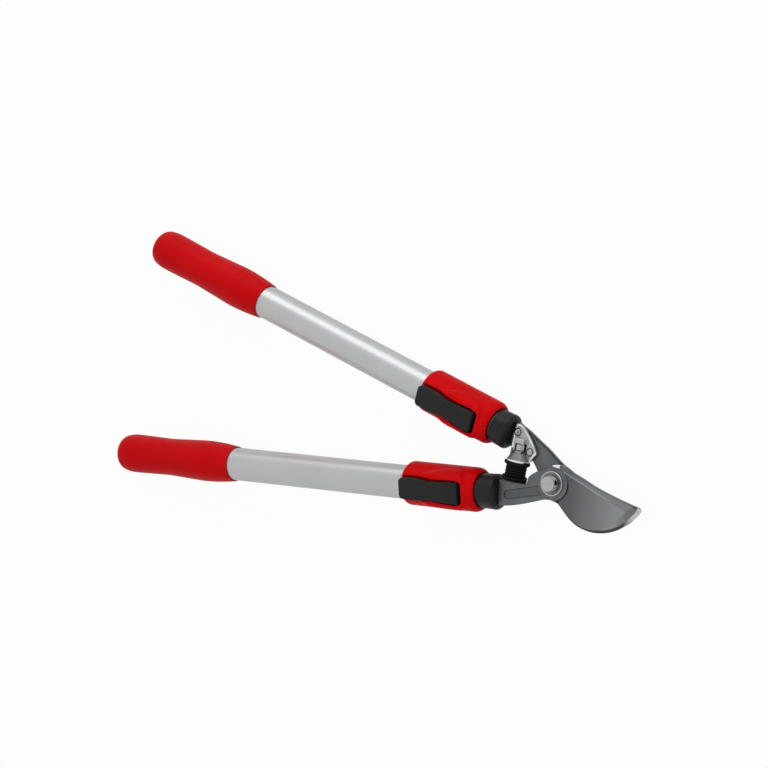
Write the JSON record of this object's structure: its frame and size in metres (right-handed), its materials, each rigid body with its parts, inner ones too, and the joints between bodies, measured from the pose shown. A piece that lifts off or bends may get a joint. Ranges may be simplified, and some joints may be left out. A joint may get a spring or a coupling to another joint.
{
  "type": "telescopic lopper",
  "caption": "Bypass lopper with sliding round handles, flip-lever clamp collars, moulded grips, and a riveted bumper bracket beside the pivot, shown closed and retracted.",
  "frame": {"origin": "middle of the pivot bolt's flat face", "axes": "+Z out of the plane of the two handles on the bolt head's side, +X from the grips to the blade's tip along the line halfway between the handles"},
  "size_m": [0.5914, 0.2463, 0.0457],
  "materials": {
    "forged_steel": "satin ground forging",
    "hook_steel": "satin forging",
    "plated_steel": "bright zinc plating",
    "die_cast": "bright die casting",
    "anodised_tube": "satin anodised",
    "red_grip": "semi-gloss moulded",
    "red_shell": "gloss moulded",
    "charcoal_lever": "fine matt moulded",
    "black_plastic": "satin moulded",
    "black_rubber": "matt rubber"
  },
  "bodies": {
    "blade_side": {"blade_arm": "forged_steel", "pivot_bolt": "plated_steel", "pivot_washer": "plated_steel", "back_washer": "plated_steel", "pivot_nut": "plated_steel", "lower_ferrule": "black_plastic", "lower_inner_tube": "anodised_tube", "lower_tang_rivet_1": "plated_steel", "lower_tang_rivet_2": "plated_steel", "lower_guide_bush": "black_plastic"},
    "hook_side": {"hook_arm": "hook_steel", "bumper_bracket": "die_cast", "bracket_rivet_1": "plated_steel", "bracket_rivet_2": "plated_steel", "bumper_bolt": "plated_steel", "bumper": "black_rubber", "strike_pad": "black_plastic", "upper_ferrule": "black_plastic", "upper_inner_tube": "anodised_tube", "upper_tang_rivet_1": "plated_steel", "upper_tang_rivet_2": "plated_steel", "upper_guide_bush": "black_plastic"},
    "lower_outer": {"lower_outer_tube": "anodised_tube", "lower_end_plug": "black_plastic", "lower_grip": "red_grip", "lower_collar": "red_shell", "lower_collar_rivet": "plated_steel", "lower_lever_pin": "plated_steel"},
    "lower_lever": {"lower_lever": "charcoal_lever"},
    "lower_shoe": {"lower_clamp_shoe": "plated_steel"},
    "upper_outer": {"upper_outer_tube": "anodised_tube", "upper_end_plug": "black_plastic", "upper_grip": "red_grip", "upper_collar": "red_shell", "upper_collar_rivet": "plated_steel", "upper_lever_pin": "plated_steel"},
    "upper_lever": {"upper_lever": "charcoal_lever"},
    "upper_shoe": {"upper_clamp_shoe": "plated_steel"}
  },
  "joints": [
    {"name": "pivot", "type": "hinge", "parent": "blade_side", "child": "hook_side", "pos_m": [0, 0, -0.01335], "axis": [0, 0, -1], "range_deg": [0, 60]},
    {"name": "lower_extend", "type": "slide", "parent": "blade_side", "child": "lower_outer", "axis": [-0.9845, -0.1754, 0], "range_m": [0, 0.29]},
    {"name": "lower_lever_flip", "type": "hinge", "parent": "lower_outer", "child": "lower_lever", "pos_m": [-0.0895, -0.03245, 0.00532], "axis": [-0.1732, 0.9724, 0.1564], "range_deg": [0, 80]},
    {"name": "lower_shoe_lift", "type": "slide", "parent": "lower_outer", "child": "lower_shoe", "axis": [0.0274, -0.154, 0.9877], "range_m": [0, 0.0004]},
    {"name": "upper_extend", "type": "slide", "parent": "hook_side", "child": "upper_outer", "axis": [-0.9845, 0.1754, 0], "range_m": [0, 0.29]},
    {"name": "upper_lever_flip", "type": "hinge", "parent": "upper_outer", "child": "upper_lever", "pos_m": [-0.08887, 0.03599, 0.00532], "axis": [0.1732, 0.9724, 0.1564], "range_deg": [0, 80]},
    {"name": "upper_shoe_lift", "type": "slide", "parent": "upper_outer", "child": "upper_shoe", "axis": [-0.0274, -0.154, 0.9877], "range_m": [0, 0.0004]}
  ],
  "couplings": [
    {"joint": "lower_shoe_lift", "follows": "lower_lever_flip", "m_per_rad": 0.00028619},
    {"joint": "upper_shoe_lift", "follows": "upper_lever_flip", "m_per_rad": 0.00028619}
  ]
}
